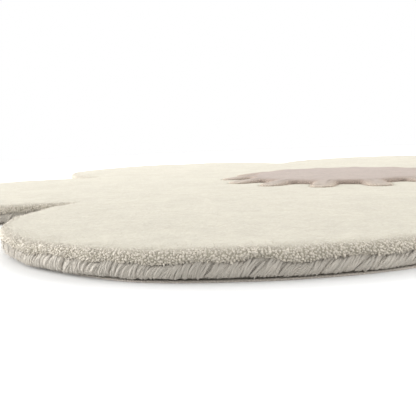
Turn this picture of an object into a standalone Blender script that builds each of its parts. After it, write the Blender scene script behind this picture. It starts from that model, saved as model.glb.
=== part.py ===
"""A flower shaped children's rug with six round petals, hand tufted in wool.

The rug lies flat, its centre over the origin and its backing on z = 0. It has the pieces that its
maker sews and tufts: a backing cloth, the cream cut pile of the petals, the raised mauve pile of the
centre with its ring of round knobs, and the yarn binding that whips the edge. The pile rolls out
over the binding all round, and the backing stays a little inside it.
Lengths are in metres, angles in degrees.
"""

import math

import bmesh
import bpy

# The outline, at the widest part of the pile
PETALS = 6
SECTOR = 360.0 / PETALS
WIDTH = 1.000  # from one petal's end to the opposite one's
PETAL_RADIUS = 0.173
PETAL_CIRCLE = WIDTH / 2 - PETAL_RADIUS  # where the petals' centres lie
NOTCH_RADIUS = 0.003  # the turn between two petals
FIRST_PETAL = -90.0  # the first petal points along -Y

# The layers, measured up from the floor
BACKING_THICK = 0.0012
BACKING_INSET = 0.0045
PILE_TOP = 0.0175
CENTRE_RISE = 0.0042  # the disc's top above the cream pile
KNOB_RISE = 0.0026  # the same at a knob's round end
GAP = 0.0003  # between two pieces that touch

# The raised centre
KNOBS = 14  # the last one points at the notch to the right of the front petal
KNOB_STEP = 360.0 / KNOBS
FIRST_KNOB = FIRST_PETAL + SECTOR / 2 - KNOB_STEP
DISC_RADIUS = 0.105
KNOB_HALF = 0.0118  # half of a knob's width
KNOB_REACH = 0.139  # from the rug's centre to a knob's end
KNOB_FILLET = 0.006  # the turn between a knob and the disc

# Steps round the rug. Every ring has the same number of points, so all knobs have as many as all petals:
# PETALS * (2 * ARC_STEPS + NOTCH_STEPS) == KNOBS * (2 * TIP_STEPS + 2 * FILLET_STEPS + 4)
ARC_STEPS = 12  # from a petal's end to the turn at the notch
NOTCH_STEPS = 4
TIP_STEPS = 3  # a quarter turn of a knob's round end
FILLET_STEPS = 1
RING_STEPS = PETALS * (2 * ARC_STEPS + NOTCH_STEPS)

# The cream pile leans down a little where it meets the raised centre
OPENING_SHOULDER = 0.0030  # where it starts, outside the raised centre
OPENING_DIP = 0.0008

# How far the pile's top rises and sinks over the rug
WAVE = 0.0003

PILE_FOOT = 0.0072  # how far inside the outline the tufts stand that the binding hides
WALL_FOOT = BACKING_THICK + GAP  # the height where pile and binding meet the backing

# The pile's edge, from the tufts' hidden foot up over the binding to the top.
# Columns: how far inside the outline, height.
PILE_EDGE = (
    (PILE_FOOT, WALL_FOOT),
    (PILE_FOOT, 0.0086),
    (0.0036, 0.0095),
    (0.0010, 0.0106),
    (0.0000, 0.0125),
    (0.0003, 0.0145),
    (0.0019, 0.0163),
    (0.0050, 0.0172),
    (0.0100, PILE_TOP),
)

# The binding's section, from its hidden inner foot round its outer side to its inner top.
# Columns: how far inside the outline, height.
BINDING_SECTION = (
    (PILE_FOOT - GAP, WALL_FOOT),
    (0.0048, WALL_FOOT),
    (0.0034, 0.0024),
    (0.0023, 0.0042),
    (0.0018, 0.0062),
    (0.0022, 0.0080),
    (0.0036, 0.0089),
    (0.0055, 0.0086),
    (PILE_FOOT - GAP, 0.0080),
)

# Rings of the cream pile's top between its edge and the centre.
# Column: the share of the way in from the edge's last ring.
FIELD_RINGS = (0.22, 0.48, 0.76)

# The raised centre's edge, from its hidden foot up to its top.
# Columns: how far inside its outline, share of the rise, height below which the rise starts.
CENTRE_EDGE = (
    (0.0000, 0.0, WALL_FOOT),
    (0.0000, 0.0, PILE_TOP - 0.0012),
    (0.0004, 0.45, PILE_TOP),
    (0.0014, 0.82, PILE_TOP),
    (0.0034, 1.0, PILE_TOP),
)

# Rings of the raised centre's top inside its edge.
# Columns: radius, crown above the disc's top.
CENTRE_RINGS = (
    (0.094, 0.0002),
    (0.055, 0.0004),
)

# Columns: piece, colour (linear red, green, blue), roughness.
FINISHES = {
    "backing": ((0.420, 0.380, 0.320), 0.95),
    "pile_field": ((0.830, 0.780, 0.660), 0.95),
    "centre_pile": ((0.590, 0.490, 0.440), 0.95),
    "binding": ((0.480, 0.440, 0.375), 0.90),
}


def turned(angle):
    """The unit vector at an angle from +X, in degrees."""
    return math.cos(math.radians(angle)), math.sin(math.radians(angle))


def wave(x, y):
    """The unevenness of the pile's top at a place, in metres."""
    swell = math.sin(13.0 * x + 1.1) * math.cos(11.0 * y - 0.4)
    ripple = 0.5 * math.sin(37.0 * x - 23.0 * y) + 0.4 * math.cos(29.0 * y + 17.0 * x)
    return WAVE * (swell + ripple)


def placed(angle, radius, out, reach):
    """The place at a radius from the rug's centre along an angle, moved by reach along out."""
    x, y = turned(angle)
    return x * radius + out[0] * reach, y * radius + out[1] * reach


def notch_turn():
    """How far out the turn between two petals has its centre, and half the angle of a petal's arc."""
    half = math.radians(SECTOR / 2)
    beside = PETAL_CIRCLE * math.sin(half)
    slant = math.sqrt((PETAL_RADIUS + NOTCH_RADIUS) ** 2 - beside**2)
    far = PETAL_CIRCLE * math.cos(half) + slant
    arc = math.atan2(far * math.sin(half), far * math.cos(half) - PETAL_CIRCLE)
    return far, math.degrees(arc)


def rug_outline(inset):
    """The flower's outline moved inwards by inset, as a ring of points that starts at a petal's end."""
    far, arc = notch_turn()
    ring = []
    for petal in range(PETALS):
        axis = FIRST_PETAL + petal * SECTOR
        for step in range(-ARC_STEPS, ARC_STEPS + 1):
            out = turned(axis + arc * step / ARC_STEPS)
            ring.append(placed(axis, PETAL_CIRCLE, out, PETAL_RADIUS - inset))
        for step in range(1, NOTCH_STEPS):
            out = turned(axis + arc - (2 * arc - SECTOR) * step / NOTCH_STEPS)
            ring.append(placed(axis + SECTOR / 2, far, out, -NOTCH_RADIUS - inset))
    return ring[ARC_STEPS:] + ring[:ARC_STEPS]


def centre_outline(inset):
    """The raised centre's outline moved inwards by inset, as a ring that starts at a knob's end."""
    beside = KNOB_HALF + KNOB_FILLET
    far = DISC_RADIUS + KNOB_FILLET
    lean = math.degrees(math.asin(beside / far))
    ring = []
    for knob in range(KNOBS):
        axis = FIRST_KNOB + knob * KNOB_STEP
        for step in range(-TIP_STEPS, TIP_STEPS + 1):
            out = turned(axis + 90.0 * step / TIP_STEPS)
            ring.append(placed(axis, KNOB_REACH - KNOB_HALF, out, KNOB_HALF - inset))
        for step in range(FILLET_STEPS + 1):
            out = turned(axis + 90.0 - (90.0 - lean) * step / FILLET_STEPS)
            ring.append(placed(axis + lean, far, out, -KNOB_FILLET - inset))
        ring.append(placed(axis + KNOB_STEP / 2, DISC_RADIUS, turned(axis + KNOB_STEP / 2), -inset))
        for step in range(FILLET_STEPS, -1, -1):
            out = turned(axis + KNOB_STEP - 90.0 + (90.0 - lean) * step / FILLET_STEPS)
            ring.append(placed(axis + KNOB_STEP - lean, far, out, -KNOB_FILLET - inset))
    return ring[TIP_STEPS:] + ring[:TIP_STEPS]


def round_ring(radius):
    """A ring of evenly spaced points, which starts at the first knob's axis."""
    spots = [turned(FIRST_KNOB + 360.0 * step / RING_STEPS) for step in range(RING_STEPS)]
    return [(x * radius, y * radius) for x, y in spots]


def level(ring, height, uneven=0.0):
    """A ring's points at a height, with a share of the pile's unevenness."""
    return [(x, y, height + uneven * wave(x, y)) for x, y in ring]


def skin(bm, rings, closed):
    """Faces between each ring of points and the next, and from the last to the first if closed."""
    loops = [[bm.verts.new(point) for point in ring] for ring in rings]
    pairs = list(zip(loops, loops[1:]))
    if closed:
        pairs.append((loops[-1], loops[0]))
    for low, high in pairs:
        for step in range(len(low)):
            after = (step + 1) % len(low)
            bm.faces.new((low[step], low[after], high[after], high[step]))
    if not closed:
        for loop in (loops[0], loops[-1]):
            bmesh.ops.poke(bm, faces=[bm.faces.new(loop)])


def finish_for(name):
    """The cloth or yarn of a piece, as a Principled material."""
    colour, rough = FINISHES[name]
    material = bpy.data.materials.new(name)
    material.use_nodes = True
    shader = material.node_tree.nodes["Principled BSDF"]
    shader.inputs["Base Color"].default_value = (*colour, 1.0)
    shader.inputs["Roughness"].default_value = rough
    shader.inputs["Metallic"].default_value = 0.0
    return material


def add_piece(name, rings, closed):
    """One closed solid made of rings, in its own material."""
    bm = bmesh.new()
    skin(bm, rings, closed)
    bmesh.ops.recalc_face_normals(bm, faces=bm.faces)
    bmesh.ops.triangulate(bm, faces=bm.faces)
    mesh = bpy.data.meshes.new(name)
    bm.to_mesh(mesh)
    bm.free()
    mesh.shade_smooth()
    mesh.set_sharp_from_angle(angle=math.radians(40.0))
    piece = bpy.data.objects.new(name, mesh)
    piece.data.materials.append(finish_for(name))
    bpy.context.collection.objects.link(piece)
    return piece


def make_backing():
    """The tan backing cloth, flat on the floor and a little inside the binding."""
    ring = rug_outline(BACKING_INSET)
    add_piece("backing", [level(ring, 0.0), level(ring, BACKING_THICK)], closed=False)


def make_pile_field():
    """The cream cut pile of the petals, which rolls out over the binding and is open at the centre."""
    rings = []
    for inset, height in PILE_EDGE:
        uneven = max(0.0, (height - WALL_FOOT) / (PILE_TOP - WALL_FOOT)) ** 2
        rings.append(level(rug_outline(inset), height, uneven))
    edge = rug_outline(PILE_EDGE[-1][0])
    shoulder = centre_outline(-OPENING_SHOULDER)
    for share in FIELD_RINGS:
        ring = [(a + share * (c - a), b + share * (d - b)) for (a, b), (c, d) in zip(edge, shoulder)]
        rings.append(level(ring, PILE_TOP, 1.0))
    opening = centre_outline(-GAP)
    rings.append(level(shoulder, PILE_TOP, 1.0))
    rings.append(level(opening, PILE_TOP - OPENING_DIP))
    rings.append(level(opening, WALL_FOOT))
    add_piece("pile_field", rings, closed=True)


def make_centre_pile():
    """The raised mauve pile: a disc with a ring of knobs that slope down to the cream pile."""
    rings = []
    for inset, share, base in CENTRE_EDGE:
        ring = []
        for x, y in centre_outline(inset):
            out = (math.hypot(x, y) - DISC_RADIUS) / (KNOB_REACH - DISC_RADIUS)
            rise = CENTRE_RISE + (KNOB_RISE - CENTRE_RISE) * min(1.0, max(0.0, out)) ** 2
            ring.append((x, y, base + share * rise))
        rings.append(ring)
    for radius, crown in CENTRE_RINGS:
        rings.append(level(round_ring(radius), PILE_TOP + CENTRE_RISE + crown, 1.0))
    add_piece("centre_pile", rings, closed=False)


def make_binding():
    """The yarn that whips the edge, as one plain band; its single turns are far over 300."""
    rings = [level(rug_outline(inset), height) for inset, height in BINDING_SECTION]
    add_piece("binding", rings, closed=True)


def main():
    for old in list(bpy.data.objects):
        bpy.data.objects.remove(old, do_unlink=True)
    make_backing()
    make_pile_field()
    make_centre_pile()
    make_binding()


main()
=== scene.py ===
"""The looks of a flower shaped children's rug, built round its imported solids.

The rug is hand tufted in wool: cream cut pile in six round petals, a raised mauve centre with a ring
of round knobs, yarn whipped round the edge, and a tan backing cloth. The file is laid out as a
Blender add-on and is run as a script. Lengths are in metres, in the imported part's own frame.
"""

import math

import bmesh
import bpy
import numpy as np
from bpy.props import FloatProperty, FloatVectorProperty, IntProperty, PointerProperty
from mathutils import Matrix, Vector


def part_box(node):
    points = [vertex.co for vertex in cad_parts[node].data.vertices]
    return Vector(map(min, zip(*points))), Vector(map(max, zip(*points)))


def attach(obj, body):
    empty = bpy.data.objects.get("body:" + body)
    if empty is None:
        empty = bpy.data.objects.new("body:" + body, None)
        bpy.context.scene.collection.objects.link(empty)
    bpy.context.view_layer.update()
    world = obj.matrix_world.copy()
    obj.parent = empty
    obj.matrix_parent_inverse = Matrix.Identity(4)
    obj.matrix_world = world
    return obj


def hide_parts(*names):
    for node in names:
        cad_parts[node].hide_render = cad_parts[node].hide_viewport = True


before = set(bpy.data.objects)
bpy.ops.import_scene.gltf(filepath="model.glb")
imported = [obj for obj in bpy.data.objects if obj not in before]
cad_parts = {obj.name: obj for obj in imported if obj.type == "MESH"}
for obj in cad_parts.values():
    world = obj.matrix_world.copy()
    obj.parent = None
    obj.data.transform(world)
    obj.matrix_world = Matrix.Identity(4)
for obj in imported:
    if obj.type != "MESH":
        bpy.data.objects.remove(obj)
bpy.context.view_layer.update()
BACKING_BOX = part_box("backing")
PILE_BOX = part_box("pile_field")

bl_info = {
    "name": "Flower rug",
    "version": (1, 0, 0),
    "blender": (4, 5, 0),
    "location": "3D View > Sidebar > Rug",
    "description": "Dresses a flower shaped wool rug with its pile, edge yarn and backing",
    "category": "Object",
}

PHOTO_SIDE = 416  # the photograph is a square of this many pixels
SENSOR = 36.0  # millimetres
FIRST_PETAL = -math.pi / 2  # the first petal points along -Y
GAP = 0.0003  # between two neighbouring pieces
HALF_SECTOR_POINTS = 400  # of the fine line that the outlines are read from

# Where the pile's lip stands higher or lower over the binding, as an arch.
# Columns: angle round the rug in degrees, half width of the arch, how much higher (below 0 for lower).
LIP_ARCHES = (
    (-81.6, 0.0120, 0.0020),
    (-97.0, 0.0160, 0.0012),
    (-84.9, 0.0110, 0.0012),
    (-79.0, 0.0120, -0.0012),
    (-3.0, 0.0140, 0.0020),
    (64.0, 0.0110, 0.0024),
    (133.0, 0.0150, 0.0018),
    (221.0, 0.0120, 0.0022),
)

# Where the backing was laid short and stays in the binding's shade.
# Columns: angle round the rug and half width of the stretch in degrees, how much farther inside.
BACKING_TUCKS = (
    (-97.5, 10.0, 0.0055),
    (-40.0, 7.0, 0.0020),
    (72.0, 9.0, 0.0025),
    (168.0, 8.0, 0.0022),
)

# Large numbers that mix small whole ones well, and the largest number that a mix may reach.
SHUFFLERS = (374761393, 668265263, 974634777, 1274126177)
LARGEST = 0x7FFFFFFF

WAVER_SIZE = 0.07  # over which the outline and the lean of the yarn turns waver
WAVER_SEED = 2066
WAVER_SHIFT = 0.3  # share of the waver by which the whole outline lies farther in

# Layers of smooth lumps that make the pile's top, its lip and its line uneven.
# Columns: how high a lump stands, how broad it is.
TOP_LUMPS = ((0.00016, 0.017), (0.00013, 0.0065))
LIP_LUMPS = ((0.0011, 0.022), (0.0007, 0.0085))
LINE_LUMPS = ((0.0005, 0.026), (0.0005, 0.0085))
SWELL = 0.0003  # how far the pile's top rises and sinks slowly
BACKING_FRAY = (0.0003, 0.009)  # how far the backing's edge strays, and over what length

# What is added to the seed for each uneven thing.
SEEDS = {
    "line": 2,
    "lip": 4,
    "centre": 9,
    "knob locks": 10,
    "backing": 20,
    "turns": 30,
    "lean": 31,
    "edge tufts": 40,
    "hanging tufts": 45,
    "centre tufts": 60,
    "fibres": 70,
    "binding": 80,
    "hanging locks": 90,
}

# The backing's edge, from the floor up.
# Columns: how much farther inside, share of the thickness, height above that.
BACKING_EDGE = (
    (0.0002, 0.0, 0.0),
    (0.0, 0.0, 0.0002),
    (0.0001, 0.6, 0.0),
    (0.0008, 0.9, 0.0),
    (0.0020, 1.0, 0.0),
)

# The cream pile's body at the edge, from the hidden foot up over the binding to the top. The tufts
# stand out of it.
# Columns: how far inside the outline, height, looseness of the line.
PILE_EDGE = (
    (0.0072, 0.0015, 0.0),
    (0.0070, 0.0098, 0.0),
    (0.0046, 0.0102, 0.9),
    (0.0029, 0.0109, 1.2),
    (0.0021, 0.0122, 1.1),
    (0.0021, 0.0137, 0.9),
    (0.0029, 0.0151, 0.7),
    (0.0050, 0.0164, 0.5),
    (0.0086, 0.0172, 0.4),
    (0.0135, 0.0175, 0.2),
    (0.0190, 0.0176, 0.0),
)

# How the tufts stand along the cream pile's edge, from its lower lip up to its top.
# Columns: height, size, how far the tuft leans up (below 0 for down), how deep its root sinks.
EDGE_TUFTS = (
    (0.0098, 0.80, -1.0, 0.0000),
    (0.0112, 1.00, -0.9, 0.0000),
    (0.0140, 1.00, -0.5, 0.0000),
    (0.0160, 0.95, 0.2, 0.0001),
    (0.0170, 0.80, 1.0, 0.0003),
    (0.0175, 0.60, 2.0, 0.0004),
)

LIP_TOP = 0.0120  # below this height the pile's edge is its lip
UNEVEN_FOOT = 0.0090  # where the unevenness of the pile's top begins
UNEVEN_SPAN = 0.0085  # over which it grows to its full size
LIFT_FADE = 1.5  # power of the line's looseness that the lip's lift follows
TONE_SPAN = (0.0150, 0.0174)  # heights where a tuft's tone goes from the side's, painted lighter against its shade, to the top's
TRIALS = 1.6  # spots tried for each square of the least distance

# The raised centre's edge, from its hidden foot up to its top.
# Columns: how far inside its outline, height where the rise starts, share of the rise.
CENTRE_EDGE = (
    (0.0000, 0.0015, 0.0),
    (0.0000, 0.0155, 0.0),
    (0.0006, 0.0175, 0.3),
    (0.0020, 0.0175, 0.66),
    (0.0044, 0.0175, 0.91),
    (0.0080, 0.0175, 1.0),
)

# One turn of binding yarn across the edge, from its foot on the backing round to its inner end.
# Columns: how far inside the outline, height, how far along the turn.
YARN_TURN = (
    (0.0064, 0.0021, 0.00),
    (0.0055, 0.0022, 0.12),
    (0.0046, 0.0034, 0.26),
    (0.0040, 0.0052, 0.42),
    (0.0038, 0.0073, 0.57),
    (0.0039, 0.0092, 0.72),
    (0.0046, 0.0107, 0.86),
    (0.0062, 0.0112, 1.00),
)

# The core behind the yarn turns, the binding yarn painted a little darker as shade, as a ring's section.
# Columns: how far inside the outline, height.
BINDING_CORE = (
    (0.0070, 0.0018),
    (0.0060, 0.0020),
    (0.0051, 0.0034),
    (0.0046, 0.0052),
    (0.0043, 0.0073),
    (0.0044, 0.0092),
    (0.0051, 0.0105),
    (0.0060, 0.0110),
    (0.0072, 0.0110),
)

# How finely each closed line and skin is made.
BACKING_POINTS = 1200
PILE_POINTS = 1440
PILE_EDGE_RINGS = 15
PILE_TOP_STEPS = 39
PILE_FINE_RINGS = 18  # of the rings on the top, from the edge on; the rest have half the points
PILE_TOP_GATHER = 1.15  # above 1, the rings lie closer together near the edge
OPENING_POINTS = 720
TUFT_LINE_POINTS = 2000
TUFT_LINE_RINGS = 21
CENTRE_POINTS = 1440
CENTRE_EDGE_RINGS = 9
CENTRE_TOP_STEPS = 28
CENTRE_FINE_RINGS = 10  # these have half the line's points, the rest a quarter
CORE_POINTS = 1200
FIBRE_LINE_POINTS = 1200
FIBRE_LINE_RINGS = 12
TURN_STEPS = 8
TURN_SIDES = 5

# How far inside its outline each line's points are evenly spaced.
PILE_INSET = 0.006
CENTRE_INSET = 0.003
TURN_INSET = 0.003
CORE_INSET = 0.005

OPENING_SHOULDER = 0.0030  # how far outside the raised centre the cream pile starts to sink
OPENING_DIP = 0.0008  # how far it has sunk at the centre
CENTRE_HUB = 0.004  # radius towards which the rings on the centre's top draw in
CENTRE_CROWN = 0.0003  # how much higher than its rise the disc's top stands
KNOB_EASE = 0.25  # share by which a knob's edge is rounder at its end
KNOB_FADE = 0.005  # how far inside the disc's radius the centre starts to grow paler
KNOB_PALER = 0.35  # share of cream at a knob's end
PARTS = 2  # into which each long piece of the edge is split
TURN_KINDS = 12
PACKET_TURNS = (4, 8)  # a packet has at least 4 turns and fewer than 8
PACKET_GATHER = 0.06  # share of the pitch by which a packet's turns lie closer together
PACKET_FAN = 0.10  # how far a packet's outer turns lean apart at most, in radians
PACKET_LIFT = 0.0004  # how far a packet stands higher or lower at most
FIBRE_INSET = 0.0034  # where the binding's fibres stand
FIBRE_HEIGHTS = (0.0030, 0.0062, 0.0094)
FIBRE_BENDS = (-0.5, 0.3, 0.8)  # shares of a fibre's length that its tip stands aside
FIBRE_EASE = 0.0012  # below this height a fibre bends to lie along the floor
FLOOR_RADIUS = 1.5  # the floor ends in front of the back light, so all of it is lit

# The broad soft lights, whose watts the stage holds under the same names.
# Columns: name, width, height, how far ahead of the camera, to its right and above it.
SOFT_BOXES = (
    ("window", 1.6, 1.0, 2.4, 0.0, 1.2),
    ("side", 1.6, 0.7, 0.9, -1.7, 0.3),
    ("right", 1.4, 0.9, 0.5, 1.5, 0.45),
)


def length_field(name, description, default):
    """The property of a length in metres."""
    return FloatProperty(name=name, description=description, default=default, unit="LENGTH")


def angle_field(name, description, degrees):
    """The property of an angle, whose default is given in degrees."""
    angle = math.radians(degrees)
    return FloatProperty(name=name, description=description, default=angle, subtype="ANGLE")


def number_field(name, description, default):
    """The property of a number without a unit."""
    return FloatProperty(name=name, description=description, default=default)


def colour_field(name, description, default):
    """The property of a colour."""
    return FloatVectorProperty(name=name, description=description, default=default, subtype="COLOR")


class RugSizes(bpy.types.PropertyGroup):
    """The rug's own sizes."""

    petals: IntProperty(name="Petals", description="Round petals of the flower", default=6, min=3)
    width: length_field(
        "Width", "From one petal's end to the opposite one's", PILE_BOX[1].y - PILE_BOX[0].y
    )
    petal_radius: length_field("Petal radius", "Radius of a petal's round end", 0.173)
    notch_radius: length_field("Notch radius", "Radius of the turn between two petals", 0.003)
    waver: length_field("Waver", "How far the hand made outline strays to either side", 0.0028)
    pile_top: length_field("Pile top", "Height of the cream pile", 0.0175)
    backing_inset: length_field("Backing inset", "How far the backing stays inside the outline", 0.0045)
    backing_thick: length_field("Backing thickness", "Thickness of the backing cloth", BACKING_BOX[1].z)
    disc_radius: length_field("Disc radius", "Radius of the raised centre between its knobs", 0.105)
    knobs: IntProperty(name="Knobs", description="Round knobs of the raised centre", default=14, min=3)
    knob_half: length_field("Knob half width", "Half of a knob's width", 0.0118)
    knob_reach: length_field("Knob reach", "From the rug's centre to a knob's end", 0.139)
    knob_fillet: length_field("Knob fillet", "Radius of the turn between a knob and the disc", 0.006)
    centre_rise: length_field("Centre rise", "Height of the centre's top above the cream pile", 0.0042)
    knob_rise: length_field("Knob rise", "Height of a knob's round end above the cream pile", 0.0012)


class RugYarn(bpy.types.PropertyGroup):
    """The yarns, their colours and how they are worked."""

    cream: colour_field("Cream", "Colour of the petals' pile", (0.368, 0.342, 0.277))
    mauve: colour_field("Mauve", "Colour of the centre's pile", (0.246, 0.198, 0.167))
    binding: colour_field("Binding", "Colour of the edge yarn", (0.440, 0.409, 0.361))
    backing: colour_field("Backing", "Colour of the backing cloth", (0.40, 0.362, 0.318))
    tuft_spacing: length_field("Tuft spacing", "Least distance between two tufts of the edge", 0.00110)
    tuft_width: length_field("Tuft width", "Width of a tuft", 0.0018)
    tuft_proud: length_field("Tuft stand", "How far a tuft stands out of the pile's body", 0.0008)
    loose_lock: length_field("Loose lock", "Length of a lock that hangs from the pile's lip", 0.0026)
    loose_spacing: length_field(
        "Loose lock spacing", "Least distance between two locks that hang from the lip", 0.0024
    )
    strand_pitch: length_field("Strand pitch", "From one yarn turn to the next along the edge", 0.00104)
    strand_radius: length_field("Strand radius", "Radius of the edge yarn", 0.00090)
    strand_lean: angle_field("Strand lean", "How far the yarn turns lean along the edge", 22.0)
    strand_bend: length_field("Strand bend", "How far a yarn turn curves along the edge at most", 0.0036)
    packet_bow: length_field(
        "Packet bow", "How far the middle turns of a packet stand out beyond its sides", 0.0004
    )
    fibre_length: length_field("Fibre length", "Length of a loose fibre", 0.0022)
    stray_length: length_field("Stray length", "Length of a long stray fibre", 0.0085)
    seed: IntProperty(name="Seed", description="Seed of all that is uneven", default=7)


class RugStage(bpy.types.PropertyGroup):
    """The camera at the photograph's place, the floor and the studio light."""

    camera_place: FloatVectorProperty(
        name="Camera place",
        description="Where the camera stands",
        subtype="TRANSLATION",
        unit="LENGTH",
        default=(0.1916, -0.8084, 0.0780),
    )
    camera_heading: angle_field("Camera heading", "Turn of the view from +Y towards -X", 24.17)
    camera_pitch: angle_field("Camera pitch", "Angle of the view below the horizon", 6.42)
    camera_roll: angle_field("Camera roll", "Clockwise turn of the camera about its view", 2.0)
    focal_pixels: number_field(
        "Focal length in pixels", "Focal length in pixels of the photograph", 707.6
    )
    room: number_field("Room light", "Strength of the light from all round", 1.09)
    overhead: number_field("Overhead light", "Strength of the wide light above", 0.27)
    overhead_spread: angle_field("Overhead spread", "How wide the light above is", 75.0)
    overhead_back: angle_field(
        "Overhead tilt to the back", "How far the light above stands behind the rug", 6.0
    )
    overhead_left: angle_field(
        "Overhead tilt to the left", "How far the light above stands to the camera's left", 20.0
    )
    window: number_field("Back light", "Watts of the broad light far behind the rug", 32.0)
    side: number_field("Left light", "Watts of the broad light at the left", 57.0)
    right: number_field("Right light", "Watts of the broad light at the right", 22.0)


def lattice(i, j, seed):
    """A repeatable number from -1 to 1 for each pair of whole numbers."""
    first, second, third, last = SHUFFLERS
    mixed = (i * first + j * second + seed * third) & LARGEST
    mixed = ((mixed ^ (mixed >> 13)) * last) & LARGEST
    return ((mixed ^ (mixed >> 16)) & 0xFFFF) / 32767.5 - 1.0


def lumps(points, size, seed):
    """Smooth unevenness from -1 to 1 at some points, whose lumps are about size across."""
    u, v = points[:, 0] / size, points[:, 1] / size
    i, j = np.floor(u).astype(np.int64), np.floor(v).astype(np.int64)
    s, t = u - i, v - j
    s, t = s * s * (3 - 2 * s), t * t * (3 - 2 * t)
    low = lattice(i, j, seed) * (1 - s) + lattice(i + 1, j, seed) * s
    high = lattice(i, j + 1, seed) * (1 - s) + lattice(i + 1, j + 1, seed) * s
    return low * (1 - t) + high * t


def layered(points, layers, seed):
    """The sum of a few layers of lumps, each with a seed of its own."""
    return sum(high * lumps(points, size, seed + k) for k, (high, size) in enumerate(layers))


def turned(points, angle):
    """Flat points or directions turned about the rug's centre."""
    c, s = math.cos(angle), math.sin(angle)
    return points @ np.array([[c, s], [-s, c]])


def round_stretch(centre, radius, start, end, hollow=False):
    """Points along a round stretch of an outline, and the way out of the rug at each."""
    angle = np.linspace(start, end, HALF_SECTOR_POINTS)
    out = np.stack([np.cos(angle), np.sin(angle)], 1)
    return np.array(centre) + radius * out, -out if hollow else out


def all_round(stretches, sectors, first):
    """The closed line made of a half sector's stretches, mirrored and turned all round from first."""
    points = np.vstack([p for p, _ in stretches])
    out = np.vstack([o for _, o in stretches])
    mirror = np.array([1.0, -1.0])
    sector = 2 * math.pi / sectors
    line = []
    for k in range(sectors):
        here, after = first + k * sector, first + (k + 1) * sector
        line.append((turned(points, here), turned(out, here)))
        line.append((turned(points[::-1] * mirror, after), turned(out[::-1] * mirror, after)))
    return np.vstack([p for p, _ in line]), np.vstack([o for _, o in line])


def flower_line(rug):
    """The flower's outline at the widest part of the pile."""
    half = math.pi / rug.petals
    circle = rug.width / 2 - rug.petal_radius
    slant = math.sqrt((rug.petal_radius + rug.notch_radius) ** 2 - (circle * math.sin(half)) ** 2)
    far = circle * math.cos(half) + slant
    notch = (far * math.cos(half), far * math.sin(half))
    arc = math.atan2(notch[1], notch[0] - circle)
    petal = round_stretch((circle, 0.0), rug.petal_radius, 0.0, arc)
    turn = round_stretch(notch, rug.notch_radius, arc + math.pi, half + math.pi, hollow=True)
    points, out = all_round([petal, turn], rug.petals, FIRST_PETAL)
    waver = lumps(points, WAVER_SIZE, WAVER_SEED)
    return points + (rug.waver * (waver - WAVER_SHIFT))[:, None] * out, out


def first_knob(rug):
    """The angle of the first knob, so that the next one points at a notch."""
    return FIRST_PETAL + math.pi / rug.petals - 2 * math.pi / rug.knobs


def centre_line(rug):
    """The raised centre's outline."""
    beside = rug.knob_half + rug.knob_fillet
    far = rug.disc_radius + rug.knob_fillet
    lean = math.asin(beside / far)
    tip = (rug.knob_reach - rug.knob_half, 0.0)
    fillet = (far * math.cos(lean), beside)
    end = round_stretch(tip, rug.knob_half, 0.0, math.pi / 2)
    turn = round_stretch(fillet, rug.knob_fillet, -math.pi / 2, lean - math.pi, hollow=True)
    disc = round_stretch((0.0, 0.0), rug.disc_radius, lean, math.pi / rug.knobs)
    return all_round([end, turn, disc], rug.knobs, first_knob(rug))


def run_along(points):
    """How far along a closed line each point lies, and at the end its whole length."""
    steps = np.linalg.norm(np.diff(np.vstack([points, points[:1]]), axis=0), axis=1)
    return np.concatenate([[0.0], np.cumsum(steps)])


def evenly(line, count, inset=0.0):
    """A closed line's points and ways out, spaced evenly along the line that runs inset inside it."""
    points, out = line
    along = run_along(points - inset * out)
    at = np.arange(count) * along[-1] / count

    def pick(values):
        closed = np.vstack([values, values[:1]])
        return np.stack([np.interp(at, along, closed[:, k]) for k in range(2)], 1)

    places, ways = pick(points), pick(out)
    return places, ways / np.linalg.norm(ways, axis=1, keepdims=True)


def smooth_rows(rows, count):
    """A table's rows read as a smooth curve, at count evenly spaced places along it."""
    table = np.array(rows)
    ends = np.vstack([2 * table[0] - table[1], table, 2 * table[-1] - table[-2]])
    steps = np.linalg.norm(np.diff(table[:, :2], axis=0), axis=1)
    along = np.concatenate([[0.0], np.cumsum(steps)])
    at = np.linspace(0.0, along[-1], count)
    k = np.clip(np.searchsorted(along, at, side="right") - 1, 0, len(steps) - 1)
    t = ((at - along[k]) / steps[k])[:, None]
    a, b, c, d = ends[k], ends[k + 1], ends[k + 2], ends[k + 3]
    square = (2 * a - 5 * b + 4 * c - d) * t**2
    cube = (3 * b - a - 3 * c + d) * t**3
    return 0.5 * (2 * b + (c - a) * t + square + cube)


def ring(line, inset, height):
    """A closed line's points moved inwards to a height, which may differ from point to point."""
    flat = line[0] - np.reshape(inset, (-1, 1)) * line[1]
    return np.column_stack([flat, np.broadcast_to(height, len(flat))])


def between(first, last, share):
    """A ring part of the way from one ring to another."""
    return first + share * (last - first)


def faces_between(low, high, first, second):
    """Faces from a ring of low points to one of high points, numbered from first and from second."""
    if low == high:
        i = np.arange(low)
        j = (i + 1) % low
        return [np.column_stack([first + i, first + j, second + j, second + i])]
    if low < high:
        return [f[:, ::-1] for f in faces_between(high, low, second, first)]
    i = np.arange(high)
    j = (i + 1) % high
    a, b, c = first + 2 * i, first + 2 * i + 1, first + (2 * i + 2) % low
    return [
        np.column_stack([a, b, second + i]),
        np.column_stack([b, second + j, second + i]),
        np.column_stack([b, c, second + j]),
    ]


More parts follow.
